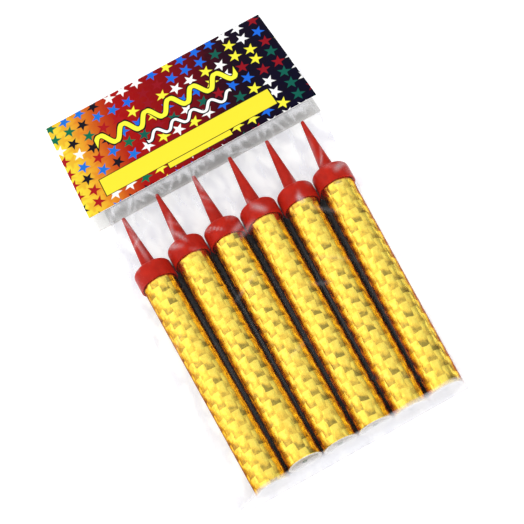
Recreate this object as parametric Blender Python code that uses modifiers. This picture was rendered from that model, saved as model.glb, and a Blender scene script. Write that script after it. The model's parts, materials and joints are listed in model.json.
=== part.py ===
"""Six cake sparkler candles in a clear bag under a folded header card, lying on their backs.

Metres, +Z up, +Y from the closed end of the bag to the fold of the card. The origin is the middle
of the footprint, on the surface that the pack lies on. Each candle is built upright on its own
Z axis, from its fuse end at zero to the tip of its stake, and is laid down by an empty on that axis.
"""

import math

import bpy
import numpy as np
from mathutils import Matrix, Vector

MM = 0.001

# Counts, facets and the gaps between pieces
CANDLES = 6
TUBE_SIDES = 28
FUSE_SIDES = 10
CORNER_STEPS = 4
FOLD_STEPS = 8
FILM_ARC_STEPS = 3
MERGE_DISTANCE = 0.01 * MM
CLEARANCE = 0.3 * MM
GLUE_LINE = 0.1 * MM

# Paper tube and the foil wrapped round it
TUBE_LENGTH = 120 * MM
TUBE_OUTER = 16.3 * MM
TUBE_WALL = 1.5 * MM
FOIL_THICKNESS = 0.15 * MM

# Choke and fuse at the end that is lit, plug at the end that the cap closes, filling between them
CHOKE_LENGTH = 8 * MM
CHOKE_RECESS = 0.6 * MM
CHOKE_BORE = 3 * MM
CHOKE_FLARE = 1.8 * MM
FUSE_DIAMETER = 2.2 * MM
FUSE_RECESS = 0.2 * MM
PLUG_LENGTH = 16 * MM
PLUG_RECESS = 1 * MM

# Moulded cap with its stake
CAP_FIT = 0.1 * MM
CAP_WALL = 0.95 * MM
CAP_SKIRT = 8.5 * MM
CAP_CROWN = 1.5 * MM
CAP_CORNER = 2 * MM
CAP_LIP = 0.3 * MM
STAKE_LENGTH = 31.7 * MM
STAKE_BASE = 7.4 * MM
STAKE_TIP = 1.9 * MM
STAKE_FILLET = 0.8 * MM
STAKE_CORE = 3.2 * MM
STAKE_CORE_DEPTH = 18 * MM

# How the candles lie side by side, wraps almost touching at one end and caps at the other
WRAP_GAP = 0.3 * MM
CAP_GAP = 0.3 * MM
# How far each lies towards the card, from the left, as shares of the tube's outer diameter
LAY_SHARES = (-0.12, 0.08, 0.05, 0.05, -0.04, -0.01)
# Travel that the bag leaves: a whole candle towards the card, and a cap off its tube
CANDLE_TRAVEL = 2.5 * MM
CAP_TRAVEL = 9 * MM

# Clear bag: its slack lies on the left, and its right side is turned under and hugs the last candle
FILM_THICKNESS = 0.06 * MM
BAG_EASE = 5.55 * MM
BAG_EDGE = 0.4 * MM
RIGHT_FLAP = 1.5 * MM
SEAM_MARGIN = 0.9 * MM
FILM_DIP = 1.2 * MM
FILM_RISE = 5 * MM
MOUTH_DEPTH = 31 * MM
MOUTH_TUCK = 6.5 * MM
# The rise of the film from its seam over the ends of the tubes: shares of the margin and the height
SEAM_RISE_SHARES = ((0.0, 0.0), (0.45, 0.5), (0.8, 0.9))
# Where the film starts to rise from the wraps to the caps, as a share of the cap's outer diameter
CAP_RISE_SHARE = 0.35

# Folded header card and the glue that holds it on the bag
CARD_OVERHANG = 0.5 * MM
CARD_HEIGHT = 70 * MM
CARD_THICKNESS = 0.35 * MM
CARD_FOLD_RADIUS = 1.15 * MM
CARD_OPENING = math.radians(9.6)
CARD_TURN = math.radians(1.3)
CARD_PAST_TIPS = 3.6 * MM
CARD_OFF_CENTRE = -0.9 * MM
GLUE_MARGIN = 15.5 * MM
GLUE_WIDTH = 8 * MM
GLUE_THICKNESS = 0.15 * MM
# How far into the mouth of the bag the strips lie, as a share of its depth
GLUE_DEPTH_SHARE = 0.5

# Radii and heights along a candle, worked out from the sizes above
BORE_RADIUS = TUBE_OUTER / 2 - TUBE_WALL
WRAP_RADIUS = TUBE_OUTER / 2 + GLUE_LINE + FOIL_THICKNESS
CAP_INNER_RADIUS = WRAP_RADIUS + CAP_FIT
CAP_RADIUS = CAP_INNER_RADIUS + CAP_WALL
CEILING = TUBE_LENGTH + CLEARANCE
RIM = CEILING - CAP_SKIRT
SHOULDER = CEILING + CAP_CROWN
TIP = SHOULDER + STAKE_LENGTH
CHOKE_TOP = CHOKE_RECESS + CHOKE_LENGTH
PLUG_BASE = TUBE_LENGTH - PLUG_RECESS - PLUG_LENGTH

# Places in the bag, worked out from the sizes above
WRAP_PITCH = 2 * WRAP_RADIUS + WRAP_GAP
CAP_PITCH = 2 * CAP_RADIUS + CAP_GAP
TILT = math.asin((CAP_RADIUS - WRAP_RADIUS) / RIM)
AXIS_HEIGHT = FILM_THICKNESS + CLEARANCE + WRAP_RADIUS
HIGH_LAY = max(LAY_SHARES) * TUBE_OUTER
CARD_EDGE_Y = TIP + HIGH_LAY + CARD_PAST_TIPS
GLUE_ROOM = GLUE_THICKNESS + 2 * GLUE_LINE
LAST_STEP = (CANDLES - 1) / 2
BAG_WIDTH = 2 * (LAST_STEP * CAP_PITCH + CAP_RADIUS + BAG_EASE)
MOUTH_LEFT = MOUTH_TUCK - BAG_WIDTH / 2
MOUTH_RIGHT = BAG_WIDTH / 2
CARD_WIDTH = BAG_WIDTH + 2 * CARD_OVERHANG
GLUE_LENGTH = CARD_WIDTH - 2 * GLUE_MARGIN
GLUE_DEPTH = GLUE_DEPTH_SHARE * MOUTH_DEPTH


def clear_scene():
    for old in list(bpy.data.objects):
        bpy.data.objects.remove(old, do_unlink=True)


def material(name, colour, roughness, metallic=0.0, alpha=1.0):
    made = bpy.data.materials.new(name)
    made.use_nodes = True
    shader = made.node_tree.nodes["Principled BSDF"]
    shader.inputs["Base Color"].default_value = (*colour, 1.0)
    shader.inputs["Roughness"].default_value = roughness
    shader.inputs["Metallic"].default_value = metallic
    shader.inputs["Alpha"].default_value = alpha
    return made


def add_piece(name, mesh, finish, parent, collection):
    """An object for the mesh, in the collection, at its parent's origin."""
    piece = bpy.data.objects.new(name, mesh)
    mesh.materials.clear()
    mesh.materials.append(finish)
    collection.objects.link(piece)
    piece.parent = parent
    return piece


def add_empty(name, parent, collection):
    empty = bpy.data.objects.new(name, None)
    empty.empty_display_size = TUBE_OUTER
    collection.objects.link(empty)
    empty.parent = parent
    return empty


def turned(name, outline, finish, parent, collection, ring=False):
    """A turned piece: the outline's (radius, height) points run down its outer side."""
    points = [(radius, 0, height) for radius, height in outline]
    edges = [(k, k + 1) for k in range(len(points) - 1)]
    if ring:
        edges.append((len(points) - 1, 0))
    mesh = bpy.data.meshes.new(name)
    mesh.from_pydata(points, edges, [])
    piece = add_piece(name, mesh, finish, parent, collection)
    screw = piece.modifiers.new("Turn", "SCREW")
    screw.steps = TUBE_SIDES
    screw.render_steps = TUBE_SIDES
    screw.use_merge_vertices = True
    screw.merge_threshold = MERGE_DISTANCE
    screw.use_smooth_shade = True
    return piece


def rod(name, radius, bottom, top, sides, finish, parent, collection):
    """A plain round rod on the parent's Z axis, from one height to another."""
    bpy.ops.mesh.primitive_cylinder_add(vertices=sides, radius=radius, depth=top - bottom)
    piece = bpy.context.object
    for holder in piece.users_collection:
        holder.objects.unlink(piece)
    piece.name = name
    piece.data.name = name
    piece.data.transform(Matrix.Translation((0, 0, (top + bottom) / 2)))
    piece.data.shade_smooth()
    piece.data.set_sharp_from_angle(angle=math.radians(40))
    piece.data.materials.append(finish)
    collection.objects.link(piece)
    piece.parent = parent
    return piece


def arc(centre, radius, start, end, steps):
    """Points on an arc about (x, z), by angle from +X towards +Z."""
    angles = [start + (end - start) * k / steps for k in range(steps + 1)]
    return [(centre[0] + radius * math.cos(a), centre[1] + radius * math.sin(a)) for a in angles]


def cap_outline():
    """Stake, shoulder and skirt down the outside, then up the inside and into the stake's core."""
    tip_radius = STAKE_TIP / 2
    point = arc((0, TIP - tip_radius), tip_radius, math.pi / 2, 0, CORNER_STEPS)
    point[0] = (0, TIP)
    fillet_centre = (STAKE_BASE / 2 + STAKE_FILLET, SHOULDER + STAKE_FILLET)
    root = arc(fillet_centre, STAKE_FILLET, math.pi, 1.5 * math.pi, CORNER_STEPS // 2)
    corner_centre = (CAP_RADIUS - CAP_CORNER, SHOULDER - CAP_CORNER)
    corner = arc(corner_centre, CAP_CORNER, math.pi / 2, 0, CORNER_STEPS)
    lip = [
        (CAP_RADIUS, RIM + CAP_LIP),
        (CAP_RADIUS - CAP_LIP, RIM),
        (CAP_INNER_RADIUS, RIM),
    ]
    inside = [
        (CAP_INNER_RADIUS, CEILING),
        (STAKE_CORE / 2, CEILING),
        (0, CEILING + STAKE_CORE_DEPTH),
    ]
    return point + root + corner + lip + inside


def ring_outline(inner, outer, bottom, top):
    return [(outer, top), (outer, bottom), (inner, bottom), (inner, top)]


def choke_outline():
    """A plug with a bore for the fuse that flares towards the filling."""
    outer = BORE_RADIUS - GLUE_LINE
    bore = CHOKE_BORE / 2
    return [
        (outer, CHOKE_TOP),
        (outer, CHOKE_RECESS),
        (bore, CHOKE_RECESS),
        (bore, CHOKE_TOP - CHOKE_FLARE),
        (bore + CHOKE_FLARE, CHOKE_TOP),
    ]


def steps_from_middle(index):
    return index - LAST_STEP


def swing(index):
    """The angle by which a candle's cap end lies out to the right."""
    return math.atan((CAP_PITCH - WRAP_PITCH) * steps_from_middle(index) / RIM)


def lay(index):
    return LAY_SHARES[index % len(LAY_SHARES)] * TUBE_OUTER


def axis_x(index, y):
    """Where the candle's axis is across the pack, at this distance along it."""
    return WRAP_PITCH * steps_from_middle(index) + y * math.tan(swing(index))


def axis_z(y):
    return AXIS_HEIGHT + y * math.tan(TILT)


def make_candle(index, pack, finishes, collection):
    """One candle on its own axis empty, its cap on an empty of the same axis."""
    name = f"candle_{index + 1}"
    axis = add_empty(f"{name}_axis", pack, collection)
    turn = Matrix.Rotation(-swing(index), 4, "Z") @ Matrix.Rotation(TILT - math.pi / 2, 4, "X")
    foot = Vector((WRAP_PITCH * steps_from_middle(index), 0, AXIS_HEIGHT))
    axis.matrix_local = Matrix.Translation(foot) @ turn @ Matrix.Translation((0, 0, lay(index)))

    tube = ring_outline(BORE_RADIUS, TUBE_OUTER / 2, 0, TUBE_LENGTH)
    turned(f"{name}_paper_tube", tube, finishes["tube"], axis, collection, ring=True)
    foil = ring_outline(WRAP_RADIUS - FOIL_THICKNESS, WRAP_RADIUS, 0, TUBE_LENGTH)
    turned(f"{name}_foil_wrap", foil, finishes["foil"], axis, collection, ring=True)
    turned(f"{name}_clay_choke", choke_outline(), finishes["clay"], axis, collection, ring=True)
    turned(f"{name}_stake_cap", cap_outline(), finishes["cap"], axis, collection)

    fit = BORE_RADIUS - GLUE_LINE
    filling_base = CHOKE_TOP + GLUE_LINE
    filling_top = PLUG_BASE - GLUE_LINE
    plug_top = PLUG_BASE + PLUG_LENGTH
    fuse_radius = FUSE_DIAMETER / 2
    rods = (
        ("filling", fit, filling_base, filling_top, TUBE_SIDES, "filling"),
        ("clay_plug", fit, PLUG_BASE, plug_top, TUBE_SIDES, "clay"),
        ("fuse", fuse_radius, FUSE_RECESS, CHOKE_TOP, FUSE_SIDES, "fuse"),
    )
    for part, radius, bottom, top, sides, finish in rods:
        rod(f"{name}_{part}", radius, bottom, top, sides, finishes[finish], axis, collection)


def film_side(x, z, radius, out, side):
    """The film from the crown of an outer candle down to the bag's edge, this far out from its axis.

    As (x, z) points, on an arc outside the candle as far as the line that touches it and meets the edge.
    """
    reach = (radius + CLEARANCE) / math.cos(math.pi / 4 / FILM_ARC_STEPS)
    drop = BAG_EDGE - z
    away = math.atan2(drop, out) + math.acos(reach / math.hypot(out, drop))
    bend = arc((0, 0), reach, math.pi / 2, away, FILM_ARC_STEPS)
    return [(x + side * across, z + up) for across, up in bend] + [(x + side * out, BAG_EDGE)]


def film_over_candles(y, radius, share):
    """The upper film across the bag at this y, left edge to right edge, as (x, z) points.

    Between two crowns it dips by the square of a sine, and the whole line is lowered to its share.
    """
    centre = axis_z(y)
    first = axis_x(0, y)
    left = film_side(first, centre, radius, BAG_WIDTH / 2 + first, -1)
    right = film_side(axis_x(CANDLES - 1, y), centre, radius, radius + CLEARANCE + RIGHT_FLAP, 1)
    crown = left[0][1]
    line = left[:0:-1]
    for index in range(CANDLES - 1):
        start = axis_x(index, y)
        step = axis_x(index + 1, y) - start
        for quarter in (0, 0.25, 0.5, 0.75):
            dip = FILM_DIP * math.sin(math.pi * quarter) ** 2
            line.append((start + step * quarter, crown - dip))
    line += right
    return [(x, BAG_EDGE + share * (z - BAG_EDGE)) for x, z in line]


def floor_points(left, right, z):
    """The flat lower film between the bag's side edges, as (x, z) points."""
    quarters = (0, 0.25, 0.5, 0.75, 1)
    return [(left + (right - left) * quarter, z) for quarter in quarters]


def card_frame():
    """Places the card's own frame: its origin is the middle of the back panel's lower edge."""
    edge = Vector((CARD_OFF_CENTRE, CARD_EDGE_Y, 0))
    return Matrix.Translation(edge) @ Matrix.Rotation(CARD_TURN, 4, "Z")


def panel_plane(depth_inside):
    """Height of the plane this far inside the front panel's outer face, at any y of the card's frame."""
    normal_y = math.sin(CARD_OPENING)
    normal_z = math.cos(CARD_OPENING)
    centre_y = CARD_HEIGHT - CARD_FOLD_RADIUS
    reach = centre_y * normal_y + CARD_FOLD_RADIUS * normal_z + CARD_FOLD_RADIUS - depth_inside
    return lambda y: (reach - y * normal_y) / normal_z


def film_in_card(y, spread):
    """The upper film across the card's frame at this y: it rises from each side edge to the panel."""
    floor = CARD_THICKNESS + GLUE_ROOM
    top = panel_plane(CARD_THICKNESS + GLUE_ROOM)(y)
    line = []
    for share in spread:
        x = MOUTH_LEFT + share * (MOUTH_RIGHT - MOUTH_LEFT)
        near = min((x - MOUTH_LEFT) / FILM_RISE, (MOUTH_RIGHT - x) / FILM_RISE, 1)
        rise = near * near * (3 - 2 * near)
        line.append((x, floor + BAG_EDGE + rise * (top - floor - BAG_EDGE)))
    return line


def reach_along(height, radius):
    """The least and the most y that a ring of this radius on any candle reaches along the bag.

    The rows of the bag run parallel to the card's edge, and y is read where a row crosses the middle.
    """
    slope = math.tan(CARD_TURN)
    places = [height + lay(k) - slope * axis_x(k, height) for k in range(CANDLES)]
    return min(places) - slope * radius, max(places) + slope * radius


def bag_sections():
    """The bag's outer sections from its seam to its mouth, each as (upper points, lower points)."""
    foot = reach_along(0, WRAP_RADIUS)[0] - CLEARANCE
    rim = reach_along(RIM, CAP_RADIUS)[0] - CLEARANCE
    top = reach_along(SHOULDER + CANDLE_TRAVEL + CAP_TRAVEL, CAP_RADIUS)[1] + CLEARANCE
    seam = foot - SEAM_MARGIN
    stations = [(seam + along * SEAM_MARGIN, WRAP_RADIUS, share) for along, share in SEAM_RISE_SHARES]
    stations += [
        (foot, WRAP_RADIUS, 1),
        (rim - CAP_RISE_SHARE * 2 * CAP_RADIUS, WRAP_RADIUS, 1),
        (rim, CAP_RADIUS, 1),
        (top, CAP_RADIUS, 1),
    ]
    slope = math.tan(CARD_TURN)
    sections = []
    for y, radius, share in stations:
        line = film_over_candles(y, radius, share)
        flat = floor_points(line[0][0], line[-1][0], 0)
        upper = [Vector((x, y + slope * x, z)) for x, z in line]
        lower = [Vector((x, y + slope * x, z)) for x, z in flat]
        sections.append((upper, lower))
    width = line[-1][0] - line[0][0]
    spread = [(x - line[0][0]) / width for x, z in line]
    frame = card_frame()
    floor = CARD_THICKNESS + GLUE_ROOM
    flat = floor_points(MOUTH_LEFT, MOUTH_RIGHT, floor)
    for y in (-CLEARANCE, MOUTH_DEPTH / 2, MOUTH_DEPTH):
        upper = [frame @ Vector((x, y, z)) for x, z in film_in_card(y, spread)]
        lower = [frame @ Vector((x, y, z)) for x, z in flat]
        sections.append((upper, lower))
    return sections


def make_bag(pack, finish, collection):
    """The film's outer skin, lofted from seam to mouth, closed at the seam and given its thickness."""
    sections = bag_sections()
    across = len(sections[0][0])
    along = across + len(sections[0][1])
    points = [point for upper, lower in sections for point in upper + lower]
    faces = []
    for row in range(len(sections) - 1):
        here = row * along
        there = here + along
        for k in range(across - 1):
            faces.append((here + k, here + k + 1, there + k + 1, there + k))
        for k in range(across, along - 1):
            faces.append((here + k + 1, here + k, there + k, there + k + 1))
        faces.append((here, there, there + across, here + across))
        right = across - 1
        last = along - 1
        faces.append((here + right, here + last, there + last, there + right))
    faces.append(tuple(range(across, along)) + tuple(range(across - 1, -1, -1)))
    mesh = bpy.data.meshes.new("poly_bag")
    mesh.from_pydata(points, [], faces)
    mesh.shade_smooth()
    mesh.set_sharp_from_angle(angle=math.radians(35))
    piece = add_piece("poly_bag", mesh, finish, pack, collection)
    wall = piece.modifiers.new("Film", "SOLIDIFY")
    wall.thickness = FILM_THICKNESS
    wall.offset = -1
    wall.use_even_offset = True
    return piece


def make_card(holder, finish, collection):
    """The card bent over its fold: back panel, fold and front panel as one sheet given a thickness."""
    centre = (CARD_HEIGHT - CARD_FOLD_RADIUS, CARD_FOLD_RADIUS)
    fold = arc(centre, CARD_FOLD_RADIUS, -math.pi / 2, math.pi / 2 - CARD_OPENING, FOLD_STEPS)
    straight = CARD_HEIGHT - CARD_FOLD_RADIUS
    end_y = fold[-1][0] - straight * math.cos(CARD_OPENING)
    end_z = fold[-1][1] + straight * math.sin(CARD_OPENING)
    profile = [(0, 0)] + fold + [(end_y, end_z)]
    half = CARD_WIDTH / 2
    points = [(x, y, z) for x in (-half, half) for y, z in profile]
    count = len(profile)
    faces = [(k, k + 1, k + count + 1, k + count) for k in range(count - 1)]
    mesh = bpy.data.meshes.new("header_card")
    mesh.from_pydata(points, [], faces)
    mesh.shade_smooth()
    mesh.set_sharp_from_angle(angle=math.radians(35))
    piece = add_piece("header_card", mesh, finish, holder, collection)
    wall = piece.modifiers.new("Board", "SOLIDIFY")
    wall.thickness = CARD_THICKNESS
    wall.offset = -1
    wall.use_even_offset = True
    return piece


def make_glue_strip(name, holder, finish, collection, middle, slope):
    """A thin flat strip across the card, with its middle at (y, z) of the card's frame."""
    bpy.ops.mesh.primitive_cube_add(size=1)
    piece = bpy.context.object
    for other in piece.users_collection:
        other.objects.unlink(piece)
    piece.name = name
    piece.data.name = name
    piece.data.transform(Matrix.Diagonal((GLUE_LENGTH, GLUE_WIDTH, GLUE_THICKNESS, 1)))
    piece.data.materials.append(finish)
    collection.objects.link(piece)
    piece.parent = holder
    piece.location = (0, *middle)
    piece.rotation_euler = (-slope, 0, 0)
    return piece


def make_header(pack, finishes, collection):
    holder = add_empty("header_frame", pack, collection)
    holder.matrix_local = card_frame()
    make_card(holder, finishes["card"], collection)
    inside = CARD_THICKNESS + GLUE_LINE + GLUE_THICKNESS / 2
    front = (GLUE_DEPTH, panel_plane(inside)(GLUE_DEPTH))
    make_glue_strip("glue_strip_front", holder, finishes["glue"], collection, front, CARD_OPENING)
    back = (GLUE_DEPTH, inside)
    make_glue_strip("glue_strip_back", holder, finishes["glue"], collection, back, 0)


def centre_footprint(pack, collection):
    """Moves the pack so that the middle of its footprint is the origin."""
    bpy.context.view_layer.update()
    graph = bpy.context.evaluated_depsgraph_get()
    corners = []
    for piece in collection.objects:
        if piece.type != "MESH":
            continue
        evaluated = piece.evaluated_get(graph)
        mesh = evaluated.to_mesh()
        flat = np.empty(3 * len(mesh.vertices))
        mesh.vertices.foreach_get("co", flat)
        evaluated.to_mesh_clear()
        world = np.array(evaluated.matrix_world)
        placed = flat.reshape(-1, 3) @ world[:3, :3].T + world[:3, 3]
        corners += [placed.min(axis=0), placed.max(axis=0)]
    middle = (np.min(corners, axis=0) + np.max(corners, axis=0)) / 2
    pack.location = (-middle[0], -middle[1], 0)
    print("footprint moved by", [round(float(v) / MM, 4) for v in pack.location])


def main():
    clear_scene()
    collection = bpy.data.collections.new("sparkler_candle_pack")
    bpy.context.scene.collection.children.link(collection)
    finishes = {
        "foil": material("gold_holographic_foil", (0.83, 0.56, 0.10), 0.3, metallic=0.9),
        "tube": material("white_paper_board", (0.80, 0.78, 0.74), 0.8),
        "cap": material("red_moulded_polyethylene", (0.52, 0.02, 0.012), 0.35),
        "clay": material("pale_pressed_clay", (0.62, 0.58, 0.52), 0.9),
        "filling": material("grey_pressed_filling", (0.12, 0.12, 0.13), 0.9),
        "fuse": material("twisted_fuse_cord", (0.25, 0.30, 0.18), 0.8),
        "bag": material("clear_film", (0.92, 0.93, 0.95), 0.1, alpha=0.2),
        "card": material("printed_card", (0.45, 0.03, 0.03), 0.4),
        "glue": material("hot_melt_glue", (0.80, 0.76, 0.62), 0.5),
    }
    pack = add_empty("pack", None, collection)
    for index in range(CANDLES):
        make_candle(index, pack, finishes, collection)
    make_bag(pack, finishes["bag"], collection)
    make_header(pack, finishes, collection)
    centre_footprint(pack, collection)


main()
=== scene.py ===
"""Six cake sparkler candles in a clear bag under a folded header card, dressed for a studio view.

Metres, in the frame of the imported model: +Z up, +Y from the closed end of the bag to the fold of
the card. Every new surface is a grid of points worked out by formula and laid over its CAD node.
"""

import json
import math

import bmesh
import bpy
import numpy as np
from mathutils import Matrix, Vector


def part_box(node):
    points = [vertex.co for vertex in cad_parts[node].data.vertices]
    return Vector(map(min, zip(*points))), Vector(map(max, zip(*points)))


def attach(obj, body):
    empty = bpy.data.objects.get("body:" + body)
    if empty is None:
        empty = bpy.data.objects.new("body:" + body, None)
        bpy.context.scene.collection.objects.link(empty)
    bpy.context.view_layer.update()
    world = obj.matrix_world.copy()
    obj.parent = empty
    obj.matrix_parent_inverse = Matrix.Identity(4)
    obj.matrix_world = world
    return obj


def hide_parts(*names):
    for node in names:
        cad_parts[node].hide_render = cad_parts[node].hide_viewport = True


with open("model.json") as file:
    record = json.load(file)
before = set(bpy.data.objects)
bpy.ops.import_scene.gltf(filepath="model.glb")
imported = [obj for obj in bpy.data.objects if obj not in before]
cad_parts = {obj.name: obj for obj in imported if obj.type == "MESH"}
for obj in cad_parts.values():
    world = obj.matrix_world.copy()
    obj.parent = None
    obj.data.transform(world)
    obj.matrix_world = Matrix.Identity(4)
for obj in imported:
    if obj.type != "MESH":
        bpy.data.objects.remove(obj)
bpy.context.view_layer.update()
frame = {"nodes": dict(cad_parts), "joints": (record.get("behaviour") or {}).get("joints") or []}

MM = 0.001
CANDLES = 6
COLUMNS_AROUND = 96

# Camera: its place from the middle of the card's lower edge, and how it was turned
CAMERA_FROM_CARD = (-19.04 * MM, -290.249 * MM, 476.893 * MM)
CAMERA_HEADING = math.radians(4.872)
CAMERA_DOWN = math.radians(63.964)
CAMERA_ROLL = math.radians(-23.354)
CAMERA_LENS = 76.27

# Moulded cap: the sizes of its outline
CAP_SKIRT = 8.5 * MM
CAP_WALL = 0.95 * MM
CAP_CROWN = 1.5 * MM
CAP_CORNER = 2.0 * MM
CAP_LIP = 0.28 * MM
CAP_DRAFT = 0.06 * MM
STAKE_BASE = 7.4 * MM
STAKE_TIP = 1.9 * MM
STAKE_FILLET = 0.8 * MM
STAKE_CORE = 3.2 * MM
STAKE_CORE_DEPTH = 18.0 * MM
# How much of the stake's blunt tip is rounded off, as a share of its radius
STAKE_TIP_ROUNDING = 0.65

# Foil wrap: its lap, how far it wrinkles and how the wrinkles differ from tube to tube, in radians
FOIL_THICKNESS = 0.15 * MM
FOIL_WRINKLE = 0.045 * MM
WRINKLE_SHIFT = 0.9
FOIL_LAP = 9.0 * MM
FOIL_LAP_STEP = 0.4 * FOIL_THICKNESS
FOIL_LAP_SHARPNESS = 40
FOIL_ROWS = 170
# Its stamped lenses: their pitch along the tube in millimetres, how many go round, their relief
LENS_PITCH = 7.45
LENSES_AROUND = 13
LENS_HEIGHT = 0.18 * MM
LENS_LEAN = 1.6
CRINKLE_HEIGHT = 0.14 * MM
# How strong the olive of the lenses is, from this column of them on. The olive is partly painted shade, and
# it is faint just left of the top, as a painted highlight
LENS_SHADE_BY_COLUMN = ((0, 0.6), (5, 0.85), (6, 0.85), (7, 0.62), (8, 0.6), (9, 0.8))
# How brown and how pale the foil is, by the share round the tube from straight down to the right.
# The brown is a painted reflection of the next tube on both flanks, the pale a painted sheen on the upper
# right
FLANK_REFLECTION_STOPS = ((0.0, 0.75), (0.33, 0.75), (0.4, 0.0), (0.56, 0.0), (0.66, 0.45))
SHEEN_STOPS = ((0.0, 0.0), (0.3, 0.0), (0.35, 0.7), (0.46, 0.7), (0.52, 0.3), (0.66, 0.0))
# How far each tube is rolled, as a share of its girth, and its first lens, as a share of its length
ROLL_SHARES = (
    (0.012, 0.31), (0.007, 0.02), (-0.006, 0.055), (-0.01, 0.03), (-0.012, 0.047), (-0.016, 0.012),
)
# Lenses between the stretches of foil that two neighbours carry, so that no two are alike
LENSES_APART = 20
# Spacing of the foil's patterns, in millimetres: how its grid drifts, its crinkles, the blotches of its
# lacquer, its fine creases, which are painted dark as shade, and the patches that they come in
FOIL_DRIFT = 6.25
FOIL_CRINKLE = 1.11111
FOIL_BLOTCH = 1.66667
FOIL_CREASE = 1.81818
FOIL_PATCH = 12.5

# Spacing of the patterns in the other finishes. Fibres, grit and grains are drawn coarser than they are,
# so that they show
MOULD_CLOUD = 3.8462 * MM
MOULD_FLOW = 1.1111 * MM
PAPER_FIBRE = 0.4 * MM
CLAY_GRIT = 0.5556 * MM
CLAY_PIT = 0.7692 * MM
FILLING_GRAIN = 0.4545 * MM
FUSE_THREAD = 0.6545 * MM
GLUE_WAVE = 4.1667 * MM
BOARD_FIBRE = 0.5556 * MM
FILM_CREASE = 9.0909 * MM

# Clear film: its gauge, how far it keeps off the pieces, how high its side edges lie, how deep it dips
# between the tubes, and how far inside the card it rises to the front panel
FILM_THICKNESS = 0.06 * MM
FILM_CLEARANCE = 0.3 * MM
FILM_EDGE = 0.4 * MM
FILM_DIP = 1.2 * MM
FILM_RISE = 5.0 * MM
# The bag: its width, the slack beyond the last tube, the seam beyond the tubes, how far its mouth goes
# into the card and is tucked in there, and the stretch in which it widens to the caps
BAG_WIDTH = 126.0 * MM
RIGHT_FLAP = 1.5 * MM
SEAM_MARGIN = 0.9 * MM
MOUTH_DEPTH = 31.0 * MM
MOUTH_TUCK = 6.5 * MM
CAP_RISE = 6.6 * MM
# Travel of a candle and of its cap, which the bag leaves room for
SLIDE_TRAVEL = 2.5 * MM
PULL_TRAVEL = 9.0 * MM
FILM_COLUMNS = 160
SEAM_ROWS = 8
BAG_ROWS = 120
NECK_ROWS = 64
MOUTH_ROWS = 22
# The share of the columns that goes down each side of the bag
SIDE_SHARE = 0.16
# Columns of the lower film in its flap and in the rest, which lies flat
FLAP_COLUMNS = 12
FLAT_COLUMNS = 24
# Slack of the left edge: its share of the width, its height and the pitches of its two waves
FLAP_SHARE = 0.06
FLAP_WAVE = 0.5 * MM
FLAP_PITCHES = (5.5 * MM, 14.0 * MM)
# Creases of each kind: how many, and the least and the most of their lengths, heights and whiteness,
# the first two in millimetres. The whiteness is milk and painted glints. The glints over the caps are
# painted highlights and have no height
LONG_CREASES = (60, (12, 30), (0.2, 0.7), (0.05, 0.35))
MOUTH_CREASES = (130, (7, 16), (0.05, 0.25), (0.2, 0.9))
CAP_GLINTS = (26, (5, 14), (0.1, 0.45))
CROSS_CREASES = (7, (10, 26), (0.1, 0.3), (0.03, 0.12))
# Rows over which the creases rise behind the seam and lie down before the card, and over which their
# white comes behind the seam and goes inside the card
CALM_ROWS = (4, 12)
CLEAR_ROWS = (6, 8)
# How milky the film is over the ends of the tubes, a milk that also stands in for glare as a painted
# highlight, and in how many rows that fades
END_GLARE_MILK = 1.1
END_MILK_ROWS = 2
# The milky stretch at the mouth, partly painted light over the shade under the front panel: half its width,
# and the pitches of its folds
MOUTH_LIGHT_VEIL_WIDTH = 3.2 * MM
MOUTH_FOLD_PITCHES = (4.3 * MM, 1.7 * MM)
# The painted highlight along the dip between two tubes: how white, and half its width
DIP_HIGHLIGHT_WHITE = 0.06
DIP_HIGHLIGHT_WIDTH = 0.6 * MM

# Header card
CARD_WIDTH = 127.0 * MM
CARD_HEIGHT = 70.0 * MM
CARD_THICKNESS = 0.35 * MM
CARD_FOLD_RADIUS = 1.15 * MM
CARD_OPENING = math.radians(9.6)
# The sheet before it is bent: two flat panels, and the strip that goes round the fold
CARD_PANEL = CARD_HEIGHT - CARD_FOLD_RADIUS
CARD_BEND = (math.pi - CARD_OPENING) * CARD_FOLD_RADIUS
GLUE_ROOM = 0.35 * MM
CARD_COLUMNS = 96
CARD_PANEL_ROWS = 48
CARD_FOLD_ROWS = 14

# Print of the card, in millimetres. Stars: their grid, the reach of their tips, the waist between two
# tips as a share of that, how much taller than wide they are, and the fainter ones behind them
STAR_PITCH = (8.6, 8.7)
STAR_RADIUS = 3.75
STAR_WAIST = 0.4
STAR_STRETCH = 1.15
# How far a star strays from the middle of its cell, in cells, and how far it tilts, in radians
STAR_JITTER = 0.14
STAR_TILT = 0.25
GHOST_PITCH = (9.0, 8.2)
GHOST_RADIUS = 4.6
GHOST_SOFT = 0.6
# The stars change to the second set of inks from this column on
SECOND_INKS_FROM = 5
# Half the blur of an ink's edge, and the black lines round the strips and the streamers
PRINT_SOFT = 0.14
STRIP_LINE = 0.45
STREAMER_LINE = 0.75
# Spacing of the varnish's orange peel
VARNISH_GRAIN = 0.625
# How far the rainbow blend leans, as a share of its width over both panels
BLEND_LEAN = 0.3
# Bare strips of the front panel: (middle from the left, up from the lower edge), half sizes
STRIPS = (((60.6, 13.2), (47.8, 5.8)), ((64.0, 5.2), (17.5, 1.7)))
# Streamers: middle, half length, height of a wave, its length, half width, ink
STREAMERS = (
    ((60.0, 41.5), 40.0, 4.2, 13.5, 1.4, "#f2ee3c"),
    ((68.0, 28.5), 25.0, 2.6, 10.5, 0.8, "#f6f6f4"),
)

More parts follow.
